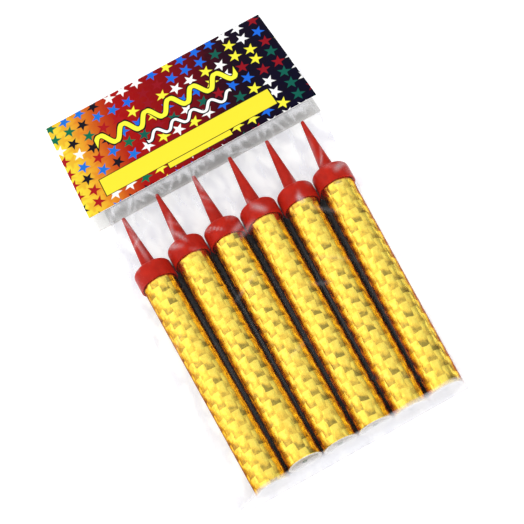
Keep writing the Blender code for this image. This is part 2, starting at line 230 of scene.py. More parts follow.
# Studio: how bright the sweep shows by itself, the strip in which that and the painted shadow under the
# tubes fade beside the tubes, its width, how far under the pack it lies, the spacing of the patches of
# light painted on it, where the soft sky is brightest, and its strengths there and on the far side
FLOOR_LIFT = 0.42
FLOOR_FADE = 6 * MM
FLOOR_SIZE = 6.0
FLOOR_DROP = 0.1 * MM
FLOOR_DAPPLE = 5.8824 * MM
SKY_TOWARDS = (-0.33, 0.45, 0.83)
SKY_BRIGHT = 1.12
SKY_DARK = 0.22
# Lamps: place, target, width, height, watts
LAMPS = {
    "key_softbox": ((-0.66, 0.5, 0.72), (0.0, 0.0, 0.0), 1.4, 1.1, 3.0),
    "fill_softbox": ((0.1, -1.0, 0.42), (0.0, -0.1, 0.0), 2.2, 1.0, 11.0),
}

CANDLE_NUMBERS = range(1, CANDLES + 1)


# Meshes


def node_points(name):
    """The corners of a CAD node's mesh, one row each."""
    mesh = frame["nodes"][name].data
    flat = np.empty(3 * len(mesh.vertices))
    mesh.vertices.foreach_get("co", flat)
    return flat.reshape(-1, 3)


def faces_of_grid(rows, columns, around=False, along=False):
    """Corner numbers of the quads between neighbours of a grid, closed around or along if asked."""
    r = np.arange(rows if along else rows - 1)[:, None]
    c = np.arange(columns if around else columns - 1)[None, :]
    next_r = (r + 1) % rows
    next_c = (c + 1) % columns
    corners = (r * columns + c, r * columns + next_c, next_r * columns + next_c, next_r * columns + c)
    return np.stack(np.broadcast_arrays(*corners), axis=-1).reshape(-1, 4)


def uv_of_closed_grid(rows, columns):
    """The unit square over the quads of a grid closed both ways, from its first row and column."""
    r, c = np.divmod(np.arange(rows * columns), columns)
    u = np.stack((c, c + 1, c + 1, c), axis=-1) / columns
    v = np.stack((r, r, r + 1, r + 1), axis=-1) / rows
    return np.stack((u, v), axis=-1).reshape(-1, 2)


def piece(name, points, faces, uv=None, finishes=(), attribute=None, merge=0.0):
    """An object at the origin with this mesh, its seams merged and its faces smooth."""
    mesh = bpy.data.meshes.new(name)
    mesh.from_pydata(points.reshape(-1, 3), [], faces)
    if uv is not None:
        layer = mesh.uv_layers.new(name="surface")
        layer.uv.foreach_set("vector", uv.astype(np.float32).ravel())
    if attribute is not None:
        label, values = attribute
        held = mesh.attributes.new(label, "FLOAT", "POINT")
        held.data.foreach_set("value", values.astype(np.float32).ravel())
    for finish in finishes:
        mesh.materials.append(finish)
    if merge:
        work = bmesh.new()
        work.from_mesh(mesh)
        bmesh.ops.remove_doubles(work, verts=work.verts, dist=merge)
        work.to_mesh(mesh)
        work.free()
    mesh.shade_smooth()
    made = bpy.data.objects.new(name, mesh)
    bpy.context.scene.collection.objects.link(made)
    return made


def settle(made, body, slot, *nodes):
    """Lets a finished piece ride on its body and stand for its CAD nodes."""
    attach(made, body)
    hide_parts(*nodes)


def arc(centre, radius, start, end, steps):
    """Points on an arc about (radius, height), by angle from outwards towards up."""
    angle = np.linspace(start, end, steps + 1)
    return np.stack((centre[0] + radius * np.cos(angle), centre[1] + radius * np.sin(angle)), axis=1)


def line(start, end, steps):
    """Evenly spaced points after start, up to end."""
    share = np.linspace(0, 1, steps + 1)[1:, None]
    return np.array(start) + share * np.subtract(end, start)


# The candles' own axes, read from the frame


def candle_axis(number):
    """(foot, right, up, along): where a candle's axis starts and its own directions."""
    joint = next(j for j in frame["joints"] if j["name"] == f"candle_{number}_slide")
    along = np.array(joint["axis"])
    tube = node_points(f"candle_{number}_paper_tube")
    length = np.ptp(tube @ along)
    foot = (tube.min(axis=0) + tube.max(axis=0)) / 2 - along * length / 2
    right = np.cross(along, (0, 0, 1))
    right /= np.linalg.norm(right)
    return foot, right, np.cross(right, along), along


AXES = {number: candle_axis(number) for number in CANDLE_NUMBERS}


def reach_of(ending):
    """Lowest and highest distance along the first candle's axis, and greatest radius, of its node."""
    foot, right, up, along = AXES[1]
    offset = node_points("candle_1_" + ending) - foot
    distance = offset @ along
    return distance.min(), distance.max(), np.hypot(offset @ right, offset @ up).max()


_, TUBE_LENGTH, WRAP_RADIUS = reach_of("foil_wrap")
RIM, TIP, CAP_RADIUS = reach_of("stake_cap")
CEILING = RIM + CAP_SKIRT
SHOULDER = CEILING + CAP_CROWN


def turned(number, radius, distance):
    """Points about a candle's axis: a circle of this radius at this distance, for every column.

    radius and distance are arrays of rows by columns. Column zero is straight down, and the
    columns go round towards the right.
    """
    foot, right, up, along = AXES[number]
    angle = 2 * np.pi * np.arange(radius.shape[1]) / radius.shape[1] - np.pi / 2
    across = (radius * np.cos(angle))[..., None] * right
    rise = (radius * np.sin(angle))[..., None] * up
    return foot + across + rise + distance[..., None] * along


# Materials


def colour(code):
    """An sRGB colour written as #rrggbb, as linear red, green, blue and a full alpha."""
    channels = np.array([int(code[k : k + 2], 16) for k in (1, 3, 5)]) / 255
    linear = np.where(channels <= 0.04045, channels / 12.92, ((channels + 0.055) / 1.055) ** 2.4)
    return (*linear.tolist(), 1.0)


# Map Range nodes take a value, the range it lies in and the range it goes to, nought to one if unsaid.
# This makes them a step with soft ends
SMOOTH = {"interpolation_type": "SMOOTHSTEP"}


def adder(tree):
    """The function that adds a shader node to this tree, with its settings and inputs."""

    def add(kind, inputs=(), output=0, **settings):
        """Adds a node, links or sets its inputs, listed or named, and gives one of its outputs.

        A math node's kind is followed by its operation.
        """
        kind, _, operation = kind.partition(" ")
        node = tree.nodes.new("ShaderNode" + kind)
        if operation:
            node.operation = operation
        for name, value in settings.items():
            setattr(node, name, value)
        named = inputs if isinstance(inputs, dict) else dict(enumerate(inputs))
        for name, value in named.items():
            socket = node.inputs[name]
            if isinstance(value, bpy.types.NodeSocket):
                tree.links.new(value, socket)
            else:
                socket.default_value = value
        return node.outputs[output]

    return add


def ramp(add, factor, stops, mode="LINEAR"):
    """A ramp through (place, colour code or grey level) stops."""
    made = add("ValToRGB", {"Fac": factor})
    band = made.node.color_ramp
    band.interpolation = mode
    while len(band.elements) < len(stops):
        band.elements.new(1.0)
    for element, (place, tone) in zip(band.elements, stops):
        element.position = place
        element.color = colour(tone) if isinstance(tone, str) else (tone, tone, tone, 1.0)
    return made


def finish(name, shader_values, build):
    """A material with one Principled shader: build(add) gives the inputs that nodes drive."""
    made = bpy.data.materials.new(name)
    made.use_nodes = True
    tree = made.node_tree
    shader = tree.nodes["Principled BSDF"]
    for socket, value in shader_values.items():
        shader.inputs[socket].default_value = value
    for socket, source in build(adder(tree)).items():
        tree.links.new(source, shader.inputs[socket])
    return made


def lens_grid(add, surface):
    """The stamped lenses: (place in millimetres, place inside a lens, number of the lens)."""
    girth = 2 * math.pi * WRAP_RADIUS / MM
    millimetres = add("VectorMath MULTIPLY", [surface, (girth, TUBE_LENGTH / MM, 0.0)])
    # The stamped grid isn't quite even: a slow noise moves its lines by up to half a millimetre
    drift = add("TexNoise", {"Vector": millimetres, "Scale": 1 / FOIL_DRIFT, "Detail": 2.0}, "Color")
    moved = add("VectorMath MULTIPLY_ADD", [drift, (2.4, 2.4, 0.0), millimetres])
    even = add("VectorMath MULTIPLY", [moved, (LENSES_AROUND / girth, 1 / LENS_PITCH, 0.0)])
    # Every second column of lenses starts half a lens higher
    column = add("Math FLOOR", [add("SeparateXYZ", [even], "X")])
    second = add("Math PINGPONG", [column, 1.0])
    half = add("Math MULTIPLY", [second, 0.5])
    higher = add("CombineXYZ", {"Y": half})
    grid = add("VectorMath ADD", [even, higher])
    inside = add("VectorMath FRACTION", [grid])
    cell = add("VectorMath FLOOR", [grid])
    return millimetres, inside, cell


def lens_relief(add, inside, chance):
    """A crown over each lens, the product of two half sines, leaning a different way in each."""
    wave = add("VectorMath MULTIPLY", [inside, (math.pi, math.pi, 0.0)])
    crown = add("VectorMath SINE", [wave])
    crown_x = add("SeparateXYZ", [crown])
    dome = add("Math MULTIPLY", [crown_x, crown_x.node.outputs["Y"]])
    off = add("VectorMath SUBTRACT", [inside, (0.5, 0.5, 0.0)])
    lean = add("VectorMath SUBTRACT", [chance, (0.5, 0.5, 0.5)])
    tilt = add("VectorMath DOT_PRODUCT", [off, lean], "Value")
    swell = add("Math MULTIPLY_ADD", [tilt, LENS_LEAN, 1.0])
    return add("Math MULTIPLY", [dome, swell])


def gold_foil():
    """Gold holographic foil: vacuum-metallised film stamped with a grid of lens-like tiles.

    The eye gets a warm mirror broken into lenses 4 mm wide and 7.5 mm long, each clear at one corner
    and olive towards the opposite one, partly the stamp's pattern and partly painted shade, with fine
    crinkles where the foil was pulled round the tube. Its colour also carries a painted reflection of the
    next tube on both flanks, a painted sheen on the upper right, and dark painted shade in its fine
    creases.
    """

    def build(add):
        surface = add("UVMap", uv_map="surface")
        millimetres, inside, cell = lens_grid(add, surface)
        chance = add("TexWhiteNoise", {"Vector": cell}, "Color", noise_dimensions="2D")
        lens = lens_relief(add, inside, chance)
        slanted = add(
            "Mapping",
            {"Vector": millimetres, "Rotation": (0.0, 0.0, math.radians(38)), "Scale": (1.0, 0.35, 1.0)}
        )
        crinkle = add(
            "TexNoise", {"Vector": slanted, "Scale": 1 / FOIL_CRINKLE, "Detail": 4.0, "Roughness": 0.62}
        )
        lifted = add("Math MULTIPLY", [lens, LENS_HEIGHT / CRINKLE_HEIGHT])
        height = add("Math ADD", [lifted, crinkle])
        bump = add("Bump", {"Strength": 1.0, "Distance": CRINKLE_HEIGHT, "Height": height})
        # Each lens is clear at its upper left and turns olive towards its lower right corner: partly the
        # stamp's pattern, partly painted shade, as if each lens were lit from its upper left
        corner = add("VectorMath MULTIPLY_ADD", [inside, (0.75, -1.25, 0.0), (0.0, 1.25, 0.0)])
        away = add("VectorMath LENGTH", [corner], "Value")
        shade = add("MapRange", [away, 0.6, 1.15], **SMOOTH)
        # The olive, partly painted shade, is set column by column by its place round the tube: faint just
        # left of the top, as a painted highlight. It also varies from lens to lens
        column = add("SeparateXYZ", [cell], "X")
        turn = add("Math MULTIPLY_ADD", [column, 1 / LENSES_AROUND, 0.01])
        strengths = [(first / LENSES_AROUND, strength) for first, strength in LENS_SHADE_BY_COLUMN]
        column_shade = ramp(add, turn, strengths, "CONSTANT")
        chance_x = add("SeparateXYZ", [chance], "X")
        varied = add("Math MULTIPLY_ADD", [chance_x, 0.7, 0.45])
        lens_shade = add("Math MULTIPLY", [shade, varied])
        lens_shade = add("Math MULTIPLY", [lens_shade, column_shade])
        # Thin spots of the lacquer are paler, thick ones deeper
        blotch = add("TexNoise", {"Vector": millimetres, "Scale": 1 / FOIL_BLOTCH, "Detail": 4.0})
        spots = add("Math MULTIPLY_ADD", [blotch, 1.0, -0.4])
        tone = add("Math ADD", [lens_shade, spots], use_clamp=True)
        base = ramp(
            add, tone,
            [(0.0, "#fad858"), (0.2, "#f6ca46"), (0.45, "#e6b640"), (0.7, "#c4a040"), (1.0, "#98863c")]
        )
        # Low on both sides, a painted reflection of the next tube: a brown patch to a lens, broken by a
        # noise
        round_share = add("SeparateXYZ", [surface], "X")
        inside_y = add("SeparateXYZ", [inside], "Y")
        ragged = add("Math MULTIPLY_ADD", [blotch, 1.5, -0.75])
        low = add("Math SUBTRACT", [ragged, inside_y])
        reflection_scallop = add("MapRange", [low, -0.75, -0.35], **SMOOTH)
        sides = ramp(add, round_share, FLANK_REFLECTION_STOPS)
        painted_reflection = add("Math MULTIPLY", [reflection_scallop, sides])
        base = laid_over(add, base, colour("#a8641c"), painted_reflection)
        # A painted sheen: a paler, greener yellow on the upper right of the tube, where the hologram's
        # rulings would throw it
        untinted = add("Math SUBTRACT", [1.0, tone], use_clamp=True)
        pale = ramp(add, round_share, SHEEN_STOPS)
        painted_sheen = add("Math MULTIPLY", [pale, untinted])
        base = laid_over(add, base, colour("#f6e468"), painted_sheen)
        # Fine creases, in patches, painted dark as shade
        fine = add(
            "TexNoise", {"Vector": slanted, "Scale": 1 / FOIL_CREASE, "Detail": 3.0, "Roughness": 0.5},
            noise_type="RIDGED_MULTIFRACTAL"
        )
        patches = add("TexNoise", {"Vector": millimetres, "Scale": 1 / FOIL_PATCH, "Detail": 1.0})
        gate = add("Math MULTIPLY_ADD", [patches, 1.6, fine])
        creased = add("MapRange", [gate, 1.85, 2.15, 0.0, 0.6], **SMOOTH)
        base = laid_over(add, base, colour("#7a5a20"), creased)
        rough = add("MapRange", [blotch, 0.3, 0.7, 0.2, 0.32])
        return {"Base Color": base, "Roughness": rough, "Normal": bump}

    return finish("gold_holographic_foil", {"Metallic": 1.0, "Specular Tint": colour("#a8561a")}, build)


def red_polyethylene():
    """Red polyethylene, injection moulded: satin, a little milky where it is thin, faint flow lines."""

    def build(add):
        place = add("TexCoord", output="Object")
        cloud = add("TexNoise", {"Vector": place, "Scale": 1 / MOULD_CLOUD, "Detail": 3.0})
        base = ramp(add, cloud, [(0.3, "#a31503"), (0.7, "#b61d06")])
        flow = add("TexNoise", {"Vector": place, "Scale": 1 / MOULD_FLOW, "Detail": 4.0})
        bump = add("Bump", {"Strength": 0.12, "Distance": 0.1 * MM, "Height": flow})
        rough = add("MapRange", [cloud, 0.3, 0.7, 0.34, 0.44])
        return {"Base Color": base, "Roughness": rough, "Normal": bump}

    values = {
        "Specular IOR Level": 0.08,
        "Subsurface Weight": 0.06,
        "Subsurface Radius": (1.0, 0.2, 0.1),
        "Subsurface Scale": 1.5 * MM,
    }
    return finish("red_moulded_polyethylene", values, build)


def grained(name, roughness, spacing, detail, stops, strength, depth):
    """A plain finish: one noise on the piece's own place tints it and raises its grain."""

    def build(add):
        place = add("TexCoord", output="Object")
        grain = add("TexNoise", {"Vector": place, "Scale": 1 / spacing, "Detail": detail})
        bump = add("Bump", {"Strength": strength, "Distance": depth, "Height": grain})
        return {"Base Color": ramp(add, grain, stops), "Normal": bump}

    return finish(name, {"Roughness": roughness}, build)


def paper_board():
    """Rolled paper board, cut square: off-white, matt, with its plies and fibres showing at the end."""
    tints = [(0.3, "#d9d3c8"), (0.7, "#f1eee6")]
    return grained("white_paper_board", 0.85, PAPER_FIBRE, 5.0, tints, 0.4, 0.1 * MM)


def pressed_clay():
    """Dry pressed clay: pale grey, chalky, with fine grit and small pits."""

    def build(add):
        place = add("TexCoord", output="Object")
        grit = add("TexNoise", {"Vector": place, "Scale": 1 / CLAY_GRIT, "Detail": 6.0})
        pits = add("TexVoronoi", {"Vector": place, "Scale": 1 / CLAY_PIT}, "Distance")
        base = ramp(add, grit, [(0.35, "#b9b2a6"), (0.65, "#dcd7cc")])
        height = add("Math ADD", [grit, pits])
        bump = add("Bump", {"Strength": 0.5, "Distance": 0.2 * MM, "Height": height})
        return {"Base Color": base, "Normal": bump}

    return finish("pale_pressed_clay", {"Roughness": 0.92}, build)


def pressed_filling():
    """Pressed spark powder: dark grey with metal grains that glint a little."""

    def build(add):
        place = add("TexCoord", output="Object")
        grains = add("TexVoronoi", {"Vector": place, "Scale": 1 / FILLING_GRAIN}, "Color")
        base = ramp(add, grains, [(0.0, "#2b2b2e"), (0.8, "#4a4a4e"), (0.95, "#8d8d90")])
        height = add("TexNoise", {"Vector": place, "Scale": 1 / FILLING_GRAIN, "Detail": 4.0})
        bump = add("Bump", {"Strength": 0.5, "Distance": 0.2 * MM, "Height": height})
        return {"Base Color": base, "Normal": bump}

    return finish("grey_pressed_filling", {"Roughness": 0.8}, build)


def fuse_cord():
    """Green lacquered fuse: cotton threads laid in a steep twist, dull with a waxy coat."""

    def build(add):
        place = add("TexCoord", output="Object")
        laid = add("Mapping", {"Vector": place, "Rotation": (0.0, 0.0, math.radians(35))})
        # The bands of a wave repeat at a tenth of pi over its scale
        scale = 0.1 * math.pi / FUSE_THREAD
        threads = add(
            "TexWave", {"Vector": laid, "Scale": scale, "Distortion": 0.6, "Detail": 2.0},
            bands_direction="Y"
        )
        base = ramp(add, threads, [(0.2, "#41502c"), (0.8, "#76864c")])
        bump = add("Bump", {"Strength": 0.6, "Distance": 0.15 * MM, "Height": threads})
        return {"Base Color": base, "Normal": bump}

    return finish("twisted_fuse_cord", {"Roughness": 0.7}, build)


def melted_glue():
    """Hot-melt glue pressed flat: honey coloured and smooth, with slight waves."""
    tints = [(0.3, "#d8cba0"), (0.7, "#ece3c4")]
    return grained("hot_melt_glue", 0.35, GLUE_WAVE, 2.0, tints, 0.3, 0.2 * MM)


def clear_film():
    """Blown polypropylene film: clear and glossy, milky where it is seen edge on and, with painted glints,
    where it is creased. Its sharpest creases are painted grey, as shade.
    """

    def build(add):
        place = add("TexCoord", output="Object")
        crease = add("Attribute", output="Fac", attribute_name="crease")
        edge = add("LayerWeight", {"Blend": 0.3}, "Facing")
        stretched = add(
            "Mapping",
            {"Vector": place, "Rotation": (0.0, 0.0, math.radians(-62)), "Scale": (1.0, 0.25, 1.0)}
        )
        creasing = add(
            "TexNoise", {"Vector": stretched, "Scale": 1 / FILM_CREASE, "Detail": 4.0, "Roughness": 0.55},
            noise_type="RIDGED_MULTIFRACTAL"
        )
        lines = add("MapRange", [creasing, 0.9, 1.4], **SMOOTH)
        seen_edge = add("Math POWER", [edge, 3.0])
        haze = add("Math MULTIPLY_ADD", [seen_edge, 0.35, 0.002])
        # The crease attribute carries the film's milk and its painted glints
        marks = add("Math MULTIPLY_ADD", [lines, 0.5, 0.35])
        milk_and_glint_alpha = add("Math MULTIPLY", [marks, crease])
        alpha = add("Math ADD", [milk_and_glint_alpha, haze], use_clamp=True)
        bump = add("Bump", {"Strength": 0.5, "Distance": 0.5 * MM, "Height": creasing})
        # The sharpest creases are painted grey, as painted shade: the dim side of the room that they would
        # bend the view to
        base = ramp(add, lines, [(0.0, "#f6f6fa"), (1.0, "#cfcfda")])
        return {"Base Color": base, "Alpha": alpha, "Normal": bump}

    values = {"Roughness": 0.12, "IOR": 1.49}
    return finish("clear_film", values, build)


# The print of the header card


def star_mask(add, place, pitch, radius, seed, soft, stagger):
    """One star in each cell of a grid over the point in millimetres: (mask, chance per cell, cell).

    Each row is shifted by stagger cells more. A star is five equal wedges. Folding the angle about
    a tip leaves one straight side, at a fixed distance from the star's middle in a fixed
    direction, and the point is inside as long as it lies nearer than that side.
    """
    scaled = add("VectorMath DIVIDE", [place, (*pitch, 1.0)])
    row = add("Math FLOOR", [add("SeparateXYZ", [scaled], "Y")])
    shift = add("Math MULTIPLY", [row, stagger])
    moved = add("CombineXYZ", {"X": shift})
    shifted = add("VectorMath ADD", [scaled, moved])
    cell = add("VectorMath FLOOR", [shifted])
    salted = add("VectorMath ADD", [cell, (seed, 3.0 * seed, 0.0)])
    noise = add("TexWhiteNoise", {"Vector": salted}, noise_dimensions="2D")
    spread = noise.node.outputs["Color"]
    inside = add("VectorMath FRACTION", [shifted])
    jitter = add("VectorMath MULTIPLY", [spread, (STAR_JITTER, STAR_JITTER, 0.0)])
    least = (1 - STAR_JITTER) / 2
    middle = add("VectorMath ADD", [jitter, (least, least, 0.0)])
    local = add("VectorMath SUBTRACT", [inside, middle])
    real = add("VectorMath MULTIPLY", [local, (pitch[0], pitch[1] / STAR_STRETCH, 0.0)])
    red = add("SeparateColor", [spread], "Red")
    tilt = add("Math MULTIPLY_ADD", [red, 2 * STAR_TILT, -STAR_TILT])
    posed = add("VectorRotate", {"Vector": real, "Angle": tilt}, rotation_type="Z_AXIS")
    distance = add("VectorMath LENGTH", [posed], "Value")
    x = add("SeparateXYZ", [posed], "X")
    y = add("SeparateXYZ", [posed], "Y")
    angle = add("Math ARCTAN2", [x, y])
    wedge = math.pi / 5
    folded = add("Math PINGPONG", [angle, wedge])
    waist = STAR_WAIST * radius
    side = (radius - waist * math.cos(wedge), waist * math.sin(wedge))
    lean = add("Math SUBTRACT", [folded, math.atan2(*side)])
    across = add("Math COSINE", [lean])
    reach = add("Math MULTIPLY", [across, distance])
    limit = radius * waist * math.sin(wedge) / math.hypot(*side)
    mask = add("MapRange", [reach, limit + soft, limit - soft], **SMOOTH)
    return mask, noise, cell


def laid_over(add, below, above, mask):
    """One ink over another where the mask is one."""
    return add("Mix", {"Factor": mask, 6: below, 7: above}, 2, data_type="RGBA")


def near(add, distance, width):
    """One where a distance is below this width, with the print's soft edge."""
    return add("MapRange", [distance, width + PRINT_SOFT, width - PRINT_SOFT], **SMOOTH)


def from_box(add, place, middle, half):
    """Distance outside a rectangle, along whichever side is farther; below zero inside it."""
    offset = add("VectorMath SUBTRACT", [place, (*middle, 0.0)])
    size = add("VectorMath ABSOLUTE", [offset])
    beyond = add("VectorMath SUBTRACT", [size, (*half, 0.0)])
    x = add("SeparateXYZ", [beyond], "X")
    y = add("SeparateXYZ", [beyond], "Y")
    return add("Math MAXIMUM", [x, y])


def from_wave(add, place, middle, half, height, length):
    """Distance from a sine wave across the card, cut off at its two ends."""
    offset = add("VectorMath SUBTRACT", [place, (*middle, 0.0)])
    x = add("SeparateXYZ", [offset], "X")
    y = add("SeparateXYZ", [offset], "Y")
    phase = add("Math MULTIPLY", [x, 2 * math.pi / length])
    wave = add("Math SINE", [phase])
    slope = add("Math COSINE", [phase])
    curve = add("Math MULTIPLY", [wave, height])
    apart = add("Math SUBTRACT", [y, curve])
    steep = add("Math MULTIPLY", [slope, 2 * math.pi * height / length])
    square = add("Math MULTIPLY_ADD", [steep, steep, 1.0])
    root = add("Math SQRT", [square])
    straight = add("Math DIVIDE", [apart, root])
    size = add("Math ABSOLUTE", [straight])
    along = add("Math ABSOLUTE", [x])
    past = add("Math SUBTRACT", [along, half])
    end = add("Math ADD", [past, 1.0])
    return add("Math MAXIMUM", [size, end])


def printed_card():
    """Coated card, offset printed and varnished: a rainbow blend under a field of stars."""

    def build(add):
        surface = add("UVMap", uv_map="surface")
        sheet = 2 * CARD_PANEL + CARD_BEND
        place = add("VectorMath MULTIPLY", [surface, (CARD_WIDTH / MM, sheet / MM, 0.0)])
        across = add("SeparateXYZ", [surface], "X")
        # The blend leans: it runs ahead along the lower edge of the front panel, whose middle is at 0.75
        height = add("SeparateXYZ", [surface], "Y")
        leaning = add("Math MULTIPLY_ADD", [height, BLEND_LEAN, 1 - 0.75 * BLEND_LEAN])
        across = add("Math MULTIPLY", [across, leaning])
        blend = ramp(
            add, across,
            [(0.0, "#ecdc3a"), (0.06, "#e8bc30"), (0.12, "#dc8a24"), (0.19, "#c04a14"),
             (0.27, "#a20a0b"), (0.54, "#78040c"), (0.68, "#320210"), (0.8, "#0e031a"), (1.0, "#05031e")]
        )
        faint, _, _ = star_mask(add, place, GHOST_PITCH, GHOST_RADIUS, 5, GHOST_SOFT, 0.5)
        dimmed = add("Math MULTIPLY", [faint, 0.5])
        warm = ramp(
            add, across,
            [(0.0, "#e0a028"), (0.12, "#cf6a1c"), (0.25, "#a81c0e"), (0.5, "#7c060c"), (0.75, "#1a0418"),
             (1.0, "#050416")]
        )
        field = laid_over(add, blend, warm, dimmed)
        stars, chance, cell = star_mask(add, place, STAR_PITCH, STAR_RADIUS, 2, PRINT_SOFT, 0.04)
        left_inks = ramp(
            add, chance,
            [(0.0, "#14101c"), (0.28, "#1d6fd2"), (0.52, "#a5141a"), (0.7, "#0c6a4a"), (0.84, "#f4f2ec")],
            "CONSTANT"
        )
        right_inks = ramp(
            add, chance,
            [(0.0, "#f4f4f2"), (0.3, "#1b66d8"), (0.52, "#f0e83c"), (0.7, "#0d5a4c"), (0.85, "#8e0f1c")],
            "CONSTANT"
        )
        star_column = add("SeparateXYZ", [cell], "X")
        second = add("Math GREATER_THAN", [star_column, SECOND_INKS_FROM - 0.5])
        inks = laid_over(add, left_inks, right_inks, second)
        printed = laid_over(add, field, inks, stars)
        # The front panel ends where v is one; the strips and streamers are measured up from there
        flipped = add("VectorMath SUBTRACT", [(0.0, sheet / MM, 0.0), place])
        front = add("VectorMath MULTIPLY", [flipped, (-1.0, 1.0, 0.0)])
        ink = colour("#100c14")
        for middle, half, height, length, width, code in STREAMERS:
            away = from_wave(add, front, middle, half, height, length)
            printed = laid_over(add, printed, ink, near(add, away, width + STREAMER_LINE))
            printed = laid_over(add, printed, colour(code), near(add, away, width))
        for middle, half in STRIPS:
            away = from_box(add, front, middle, half)
            printed = laid_over(add, printed, ink, near(add, away, STRIP_LINE))
            printed = laid_over(add, printed, colour("#efdf34"), near(add, away, 0.0))
        grain = add("TexNoise", {"Vector": place, "Scale": 1 / VARNISH_GRAIN, "Detail": 4.0})
        bump = add("Bump", {"Strength": 0.06, "Distance": 0.1 * MM, "Height": grain})
        rough = add("MapRange", [grain, 0.3, 0.7, 0.26, 0.36])
        return {"Base Color": printed, "Roughness": rough, "Normal": bump}

    return finish("printed_card", {"Specular IOR Level": 0.04}, build)


def card_back():
    """Uncoated side and cut edge of the card: white, matt, faintly fibrous."""
    tints = [(0.3, "#eeedea"), (0.7, "#fafaf8")]
    return grained("white_card_board", 0.8, BOARD_FIBRE, 5.0, tints, 0.2, 0.05 * MM)


# Pieces


def cap_outline():
    """(radius, distance) down the stake and the skirt, then up the inside and into the core.

    Round stretches are arcs: the stake's tip, the fillet at its root, the shoulder and the lip.
    """
    tip = STAKE_TIP / 2
    rounding = STAKE_TIP_ROUNDING * tip
    root = (STAKE_BASE / 2 + STAKE_FILLET, SHOULDER + STAKE_FILLET)
    corner = (CAP_RADIUS - CAP_DRAFT - CAP_CORNER, SHOULDER - CAP_CORNER)
    lip = (CAP_RADIUS - CAP_LIP, RIM + CAP_LIP)
    inner = CAP_RADIUS - CAP_WALL
    sections = [
        arc((tip - rounding, TIP - rounding), rounding, np.pi / 2, 0, 8),
        line((tip, TIP - rounding), (STAKE_BASE / 2, root[1]), 26),
        arc(root, STAKE_FILLET, np.pi, 1.5 * np.pi, 8),
        line((root[0], SHOULDER), (corner[0], SHOULDER), 4),
        arc(corner, CAP_CORNER, np.pi / 2, 0, 12),
        line((CAP_RADIUS - CAP_DRAFT, corner[1]), (CAP_RADIUS, lip[1]), 12),
        arc(lip, CAP_LIP, 0, -np.pi / 2, 5),
        line((lip[0], RIM), (inner + CAP_LIP, RIM), 1),
        line((inner + CAP_LIP, RIM), (inner, RIM + CAP_LIP), 2),
        line((inner, RIM + CAP_LIP), (inner, CEILING), 4),
        line((inner, CEILING), (STAKE_CORE / 2, CEILING), 4),
        line((STAKE_CORE / 2, CEILING), (0, CEILING + STAKE_CORE_DEPTH), 6),
    ]
    return np.vstack([[(0, TIP)], *sections])


def make_cap(number, finish_red):
    """A cap turned from its outline: each point goes round the candle's axis."""
    outline = cap_outline()
    shape = (len(outline), COLUMNS_AROUND)
    radius = np.broadcast_to(outline[:, :1], shape)
    distance = np.broadcast_to(outline[:, 1:], shape)
    points = turned(number, radius, distance)
    # The outline runs from the tip down, so the quads face outwards as they are
    faces = faces_of_grid(*shape, around=True)
    made = piece(f"stake_cap_{number}", points, faces, finishes=[finish_red], merge=0.002 * MM)
    settle(made, f"cap_{number}", "red_moulded_polyethylene", f"candle_{number}_stake_cap")


def make_wrap(number, finish_gold):
    """The foil on its tube: a cylinder with a lap, and crinkles where sines of unlike slant meet.

    radius = wrap radius + wrinkle x (the size of the slanted sines' sum, less one) - the lap's step,
    which is a logistic curve round the tube.
    """
    distance = np.linspace(0, TUBE_LENGTH, FOIL_ROWS)[:, None]
    turn = 2 * np.pi * np.arange(COLUMNS_AROUND)[None, :] / COLUMNS_AROUND
    along = distance / MM
    shift = WRINKLE_SHIFT * number

    def slanted(turns, pitch, shifts):
        """A sine that goes round this many times, and climbs one radian to a pitch in millimetres."""
        return np.sin(turns * turn + along / pitch + shifts * shift)

    folds = slanted(3, 2.9, 1) * slanted(7, -4.7, 2)
    folds = folds + 0.6 * slanted(11, 1.9, -1) + 0.4 * slanted(5, -1.3, 3)
    lap = FOIL_LAP_STEP / (1 + np.exp(-(turn - FOIL_LAP / WRAP_RADIUS) * FOIL_LAP_SHARPNESS))
    outer = WRAP_RADIUS + FOIL_WRINKLE * (np.abs(folds) - 1) - lap
    inner = np.full_like(outer, WRAP_RADIUS - FOIL_THICKNESS)
    radius = np.vstack([outer, inner[::-1]])
    reach = np.broadcast_to(np.vstack([distance, distance[::-1]]), radius.shape)
    points = turned(number, radius, reach)
    faces = faces_of_grid(*radius.shape, around=True, along=True)[:, ::-1]
    # v runs up the outer side; the inner side and the ends take the same lenses, mirrored
    flat = uv_of_closed_grid(*radius.shape)
    v = 2 * flat[:, 1]
    roll, start = ROLL_SHARES[number - 1]
    start += LENSES_APART * number * LENS_PITCH * MM / TUBE_LENGTH
    uv = np.stack((flat[:, 0] + roll, np.where(v > 1, 2 - v, v) + start), axis=1).reshape(-1, 4, 2)[:, ::-1]
    made = piece(f"foil_wrap_{number}", points, faces, uv.reshape(-1, 2), [finish_gold])
    settle(made, f"candle_{number}", "gold_holographic_foil", f"candle_{number}_foil_wrap")


def card_edge():
    """(middle, direction) of the back panel's lower edge, from its two corners in the CAD mesh."""
    points = node_points("header_card")
    low = points[points[:, 2] < 0.01 * MM]
    left = low[np.argmin(low[:, 0] + low[:, 1])] * (1, 1, 0)
    right = low[np.argmax(low[:, 0] - low[:, 1])] * (1, 1, 0)
    return (left + right) / 2, (right - left) / np.linalg.norm(right - left)


CARD_ORIGIN, CARD_ACROSS = card_edge()
CARD_UPWARDS = np.cross((0, 0, 1), CARD_ACROSS)
ROW_SLOPE = CARD_ACROSS[1] / CARD_ACROSS[0]
BAG_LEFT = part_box("poly_bag")[0][0]
MIDDLE_X = BAG_LEFT + BAG_WIDTH / 2


def on_card(x, y, z):
    """A point of the card's own frame in the frame of the part."""
    return CARD_ORIGIN + x[..., None] * CARD_ACROSS + y[..., None] * CARD_UPWARDS + z[..., None] * (0, 0, 1)


